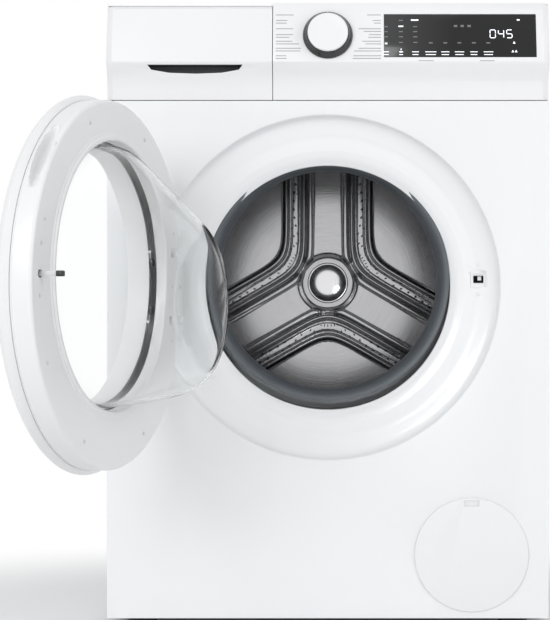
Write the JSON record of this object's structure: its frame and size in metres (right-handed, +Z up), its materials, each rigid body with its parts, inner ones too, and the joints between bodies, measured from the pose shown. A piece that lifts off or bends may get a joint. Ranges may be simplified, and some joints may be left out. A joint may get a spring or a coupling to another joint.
{
  "type": "front load washing machine",
  "caption": "White front load washing machine with its round glass door swung open on the left, detergent drawer, program knob and display above, and a round service flap below.",
  "frame": {"origin": "on the floor, at the centre of the object's bounding box with the door open at rest", "axes": "+Z up; the front faces -Y; +X is to the right when looking at the front"},
  "size_m": [0.6806, 1.0228, 0.848],
  "materials": {
    "white_enamel": "smooth semi-gloss white enamel",
    "white_plastic": "satin white plastic",
    "white_board": "chipboard with a white laminate skin",
    "pale_plastic": "filled grey-white plastic, lightly textured",
    "grey_plastic": "matt dark grey plastic",
    "black_plastic": "semi-gloss black plastic",
    "black_glass": "tinted black display window",
    "clear_glass": "clear moulded glass",
    "stainless": "polished stainless steel",
    "zinc_steel": "zinc-plated steel",
    "cast_aluminium": "as cast",
    "grey_rubber": "smooth slate grey rubber",
    "black_rubber": "matt black rubber",
    "concrete": "cast concrete"
  },
  "bodies": {
    "cabinet": {"side_panel_left": "white_enamel", "side_panel_right": "white_enamel", "rear_panel": "white_enamel", "service_cover": "white_enamel", "base_pan": "zinc_steel", "top_panel": "white_board", "front_panel": "white_enamel", "panel_carrier": "zinc_steel", "foot_front_left": "black_rubber", "foot_front_right": "black_rubber", "foot_rear_left": "black_rubber", "foot_rear_right": "black_rubber", "control_panel": "white_plastic", "display_glass": "black_glass", "dispenser_housing": "pale_plastic", "inlet_valve": "white_plastic", "dispenser_hose": "black_rubber", "door_lock": "black_plastic", "hinge_plate": "zinc_steel", "filter_housing": "pale_plastic", "drain_pump": "black_plastic", "sump_hose": "black_rubber", "drain_hose_inner": "black_rubber", "drain_spigot": "grey_plastic", "power_inlet": "black_plastic", "motor_module": "black_plastic", "gasket": "grey_rubber", "damper_cylinder_left": "black_plastic", "damper_cylinder_right": "black_plastic", "spring_left": "zinc_steel", "spring_right": "zinc_steel"},
    "knob": {"knob_skirt": "black_plastic", "knob_cap": "white_plastic"},
    "drawer": {"drawer_front": "white_plastic", "drawer_grip": "grey_plastic", "drawer_tray": "pale_plastic"},
    "door": {"door_outer_ring": "white_plastic", "door_inner_frame": "white_plastic", "door_glass": "clear_glass", "door_hinge_arm": "zinc_steel"},
    "hook": {"latch_hook": "zinc_steel"},
    "flap": {"pump_flap": "white_plastic"},
    "filter": {"filter_insert": "grey_plastic"},
    "tub": {"tub_front": "pale_plastic", "tub_rear": "pale_plastic", "counterweight_upper": "concrete", "counterweight_lower": "concrete", "heater": "stainless", "damper_rod_left": "zinc_steel", "damper_rod_right": "zinc_steel", "bearing_front": "zinc_steel", "bearing_rear": "zinc_steel", "motor_housing": "cast_aluminium", "drive_belt": "black_rubber"},
    "drum": {"drum_shell": "stainless", "drum_back": "stainless", "drum_shaft": "cast_aluminium", "hub_cap": "stainless", "drum_pulley": "cast_aluminium"},
    "rotor": {"motor_rotor": "zinc_steel"}
  },
  "joints": [
    {"name": "door_swing", "type": "hinge", "parent": "cabinet", "child": "door", "pos_m": [-0.17469, -0.08244, 0.4626], "axis": [0, 0, -1], "range_deg": [-108.75, 0]},
    {"name": "hook_tilt", "type": "hinge", "parent": "door", "child": "hook", "pos_m": [-0.28918, -0.48817, 0.4739], "axis": [0, 0, 1], "range_deg": [-6, 6], "stiffness_Nm_per_rad": 0.05},
    {"name": "drawer_slide", "type": "slide", "parent": "cabinet", "child": "drawer", "axis": [0, -1, 0], "range_m": [0, 0.23]},
    {"name": "knob_turn", "type": "hinge", "parent": "cabinet", "child": "knob", "pos_m": [0.04131, -0.07326, 0.802], "axis": [0, -0.969, 0.2472], "continuous": true},
    {"name": "flap_swing", "type": "hinge", "parent": "cabinet", "child": "flap", "pos_m": [0.23591, -0.06394, 0.024], "axis": [1, 0, 0], "range_deg": [0, 90]},
    {"name": "filter_turn", "type": "hinge", "parent": "cabinet", "child": "filter", "pos_m": [0.23591, -0.04244, 0.1007], "axis": [0, -1, 0], "range_deg": [0, 120]},
    {"name": "tub_bounce", "type": "slide", "parent": "cabinet", "child": "tub", "axis": [0, 0, 1], "range_m": [-0.006, 0.006], "stiffness_N_per_m": 20000, "springref_m": 0.02, "deforming": ["gasket", "spring_left", "spring_right", "dispenser_hose", "sump_hose"]},
    {"name": "drum_spin", "type": "hinge", "parent": "tub", "child": "drum", "pos_m": [0.04131, 0.36606, 0.4739], "axis": [0, 1, 0], "continuous": true},
    {"name": "motor_spin", "type": "hinge", "parent": "tub", "child": "rotor", "pos_m": [-0.06869, 0.39756, 0.14], "axis": [0, 1, 0], "continuous": true}
  ],
  "couplings": [
    {"joint": "motor_spin", "follows": "drum_spin", "ratio": 12.5}
  ]
}
